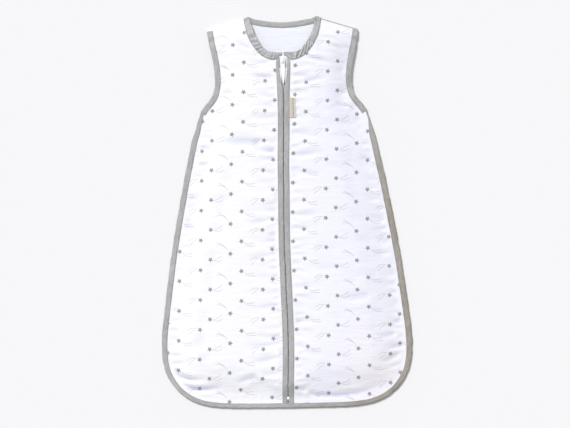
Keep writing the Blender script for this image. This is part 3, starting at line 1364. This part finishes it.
def slider():
    """Front plate, back plate, side walls and the bridge that carries the puller."""
    moulded("slider_front_plate",
            [box_ring(0, z, half, 0.62, 15.15, 20, 0.5) for z, half in SLIDER],
            "slider", ("zip_slider",))
    moulded("slider_back_plate",
            [box_ring(0, z, half * 0.96, 0.5, 11.75, 20, 0.5) for z, half in SLIDER], "slider")
    for side, tag in SIDES:
        moulded("slider_wall_" + tag,
                [box_ring(side * (half - 0.55), z, 0.5, 1.9, 13.45, 12, 0.5)
                 for z, half in SLIDER[1:-2]], "slider")
    tube("slider_bridge", BRIDGE, 0.62, 1.35, "slider")


def puller():
    """A ring through the bridge and a long tapering tag."""
    ring = [(2.75 * rounded(math.cos(angle), 0.7), 616.2 + 4.4 * rounded(math.sin(angle), 0.8),
             PULLER_DEPTH) for angle in np.linspace(0, 2 * math.pi, 36, endpoint=False)]
    tube("puller_ring", ring, 0.72, 0.72, "puller", closed=True, replaces=("zip_puller",))
    moulded("puller_tag", [box_ring(0, z, half, 0.55 + 0.35 * min(1, half / 3.5), PULLER_DEPTH,
                                    20, 0.62) for z, half in PULLER_TAG], "puller")


slider()
puller()

# ------------------------------------------------------------------ label tab and neck tack
LABEL_X, LABEL_Z = 16.0, 535.2
LABEL_HALF_WIDTH, LABEL_HALF_HEIGHT = 5.7, 18.0
LABEL_STITCH_UP, LABEL_STITCH_OUT = 15.6, 4.8       # height and half length of its stitch rows


def label():
    rows = []
    for t in np.linspace(-1, 1, 25):
        ring = []
        z = LABEL_Z + LABEL_HALF_HEIGHT * t
        half_thick = 0.3 + (0.22 if abs(t) > 0.82 else 0.0)     # thicker at its hems
        for angle in ring_angles(28):
            x = LABEL_X + LABEL_HALF_WIDTH * rounded(math.cos(angle), 0.35)
            lift = 0.85 + 0.5 * (1 - t * t) + 0.12 * float(noise(z / 5.0, x / 5.0, 301))
            ring.append((x, z, float(crown(x, z)) + lift
                         + half_thick * rounded(math.sin(angle), 0.5)))
        rows.append(ring)
    verts, faces = loft(rows)
    build("woven_label", verts, faces, LABEL, "right_flap", ("label_tab",), verts[:, :2], level=1)
    for tag, way in (("top", 1), ("foot", -1)):
        z = LABEL_Z + way * LABEL_STITCH_UP
        row = np.array([[LABEL_X - LABEL_STITCH_OUT, z], [LABEL_X + LABEL_STITCH_OUT, z]])
        stitches("label_stitches_" + tag, row, crown_at(1.55), "right_flap", pitch=1.7,
                 length=1.3, finish=PALE_THREAD)


label()
stitches("neck_corner_tack", np.array([[58.6, 694.6], [60.8, 689.4]]), crown_at(1.35), "bag",
         pitch=1.2, radius=0.62, finish=DARK_THREAD)


# ------------------------------------------------------------------ stage, lights, camera (metres)
def backdrop():
    """A wall behind the bag, seen only by the camera and only from the front."""
    shader = Shader("backdrop")
    shader.set(Base_Color=rgb(239, 239, 240), Roughness=0.95, Specular_IOR_Level=0.0)
    clear = shader.node("ShaderNodeBsdfTransparent")
    facing = shader.node("ShaderNodeNewGeometry").outputs["Backfacing"]
    camera_ray = shader.node("ShaderNodeLightPath").outputs["Is Camera Ray"]
    hidden = shader.calc("MAXIMUM", facing, shader.minus(1.0, camera_ray))
    mix = shader.node("ShaderNodeMixShader")
    shader.link(hidden, mix.inputs[0])
    shader.link(shader.surface.outputs[0], mix.inputs[1])
    shader.link(clear.outputs[0], mix.inputs[2])
    shader.link(mix.outputs[0], shader.output.inputs[0])
    half, y = 6.0, 0.0114
    mesh = bpy.data.meshes.new("backdrop")
    mesh.from_pydata([(-half, y, -half), (half, y, -half), (half, y, half), (-half, y, half)],
                     [], [(0, 1, 2, 3)])
    mesh.materials.append(shader.material)
    obj = bpy.data.objects.new("backdrop", mesh)
    bpy.context.scene.collection.objects.link(obj)


def add_light(name, kind, aim, location=(0, 0, 0), **settings):
    """A light that shines along the aim vector."""
    light = bpy.data.lights.new(name, kind)
    for key, value in settings.items():
        setattr(light, key, value)
    obj = bpy.data.objects.new(name, light)
    obj.location = location
    obj.rotation_mode = "QUATERNION"
    obj.rotation_quaternion = aim.to_track_quat("-Z", "Y")
    bpy.context.scene.collection.objects.link(obj)


def add_area(name, location, size, energy):
    """A round light aimed at the middle of the bag."""
    aim = Vector((0, 0, 0.35)) - Vector(location)
    add_light(name, "AREA", aim, location, shape="DISK", size=size, energy=energy)


def lights():
    add_light("key", "SUN", -Vector((-0.33, -0.80, 0.50)), energy=2.62,
              angle=math.radians(16.0), color=(1.0, 0.992, 0.98))
    add_area("rear", (1.4, 2.2, 1.9), size=1.2, energy=46.0)
    add_area("rear_fill", (-1.8, 2.2, -0.4), size=2.0, energy=26.0)


def studio_world():
    """Even light, brighter where the camera sees it directly."""
    world = bpy.data.worlds.new("studio")
    bpy.context.scene.world = world
    world.use_nodes = True
    tree = world.node_tree
    background = tree.nodes["Background"]
    background.inputs[0].default_value = (0.945, 0.955, 1.0, 1)
    path = tree.nodes.new("ShaderNodeLightPath")
    strength = tree.nodes.new("ShaderNodeMapRange")
    strength.inputs["To Min"].default_value = 0.44
    strength.inputs["To Max"].default_value = 0.93
    tree.links.new(path.outputs["Is Camera Ray"], strength.inputs["Value"])
    tree.links.new(strength.outputs["Result"], background.inputs[1])


def camera():
    """Straight on from the front, rolled a little."""
    view_width = 1.015      # at the plane y = 0
    data = bpy.data.cameras.new("camera")
    data.sensor_width = 36.0
    data.lens = 80.0
    data.clip_end = 50
    obj = bpy.data.objects.new("camera", data)
    bpy.context.scene.collection.objects.link(obj)
    obj.location = (-0.0004, -view_width * data.lens / data.sensor_width, 0.3465)
    obj.rotation_euler = (math.radians(90), math.radians(0.8), 0.0)
    bpy.context.scene.camera = obj


backdrop()
lights()
studio_world()
camera()
bpy.context.scene.view_settings.view_transform = "Standard"
bpy.context.scene.view_settings.look = "None"
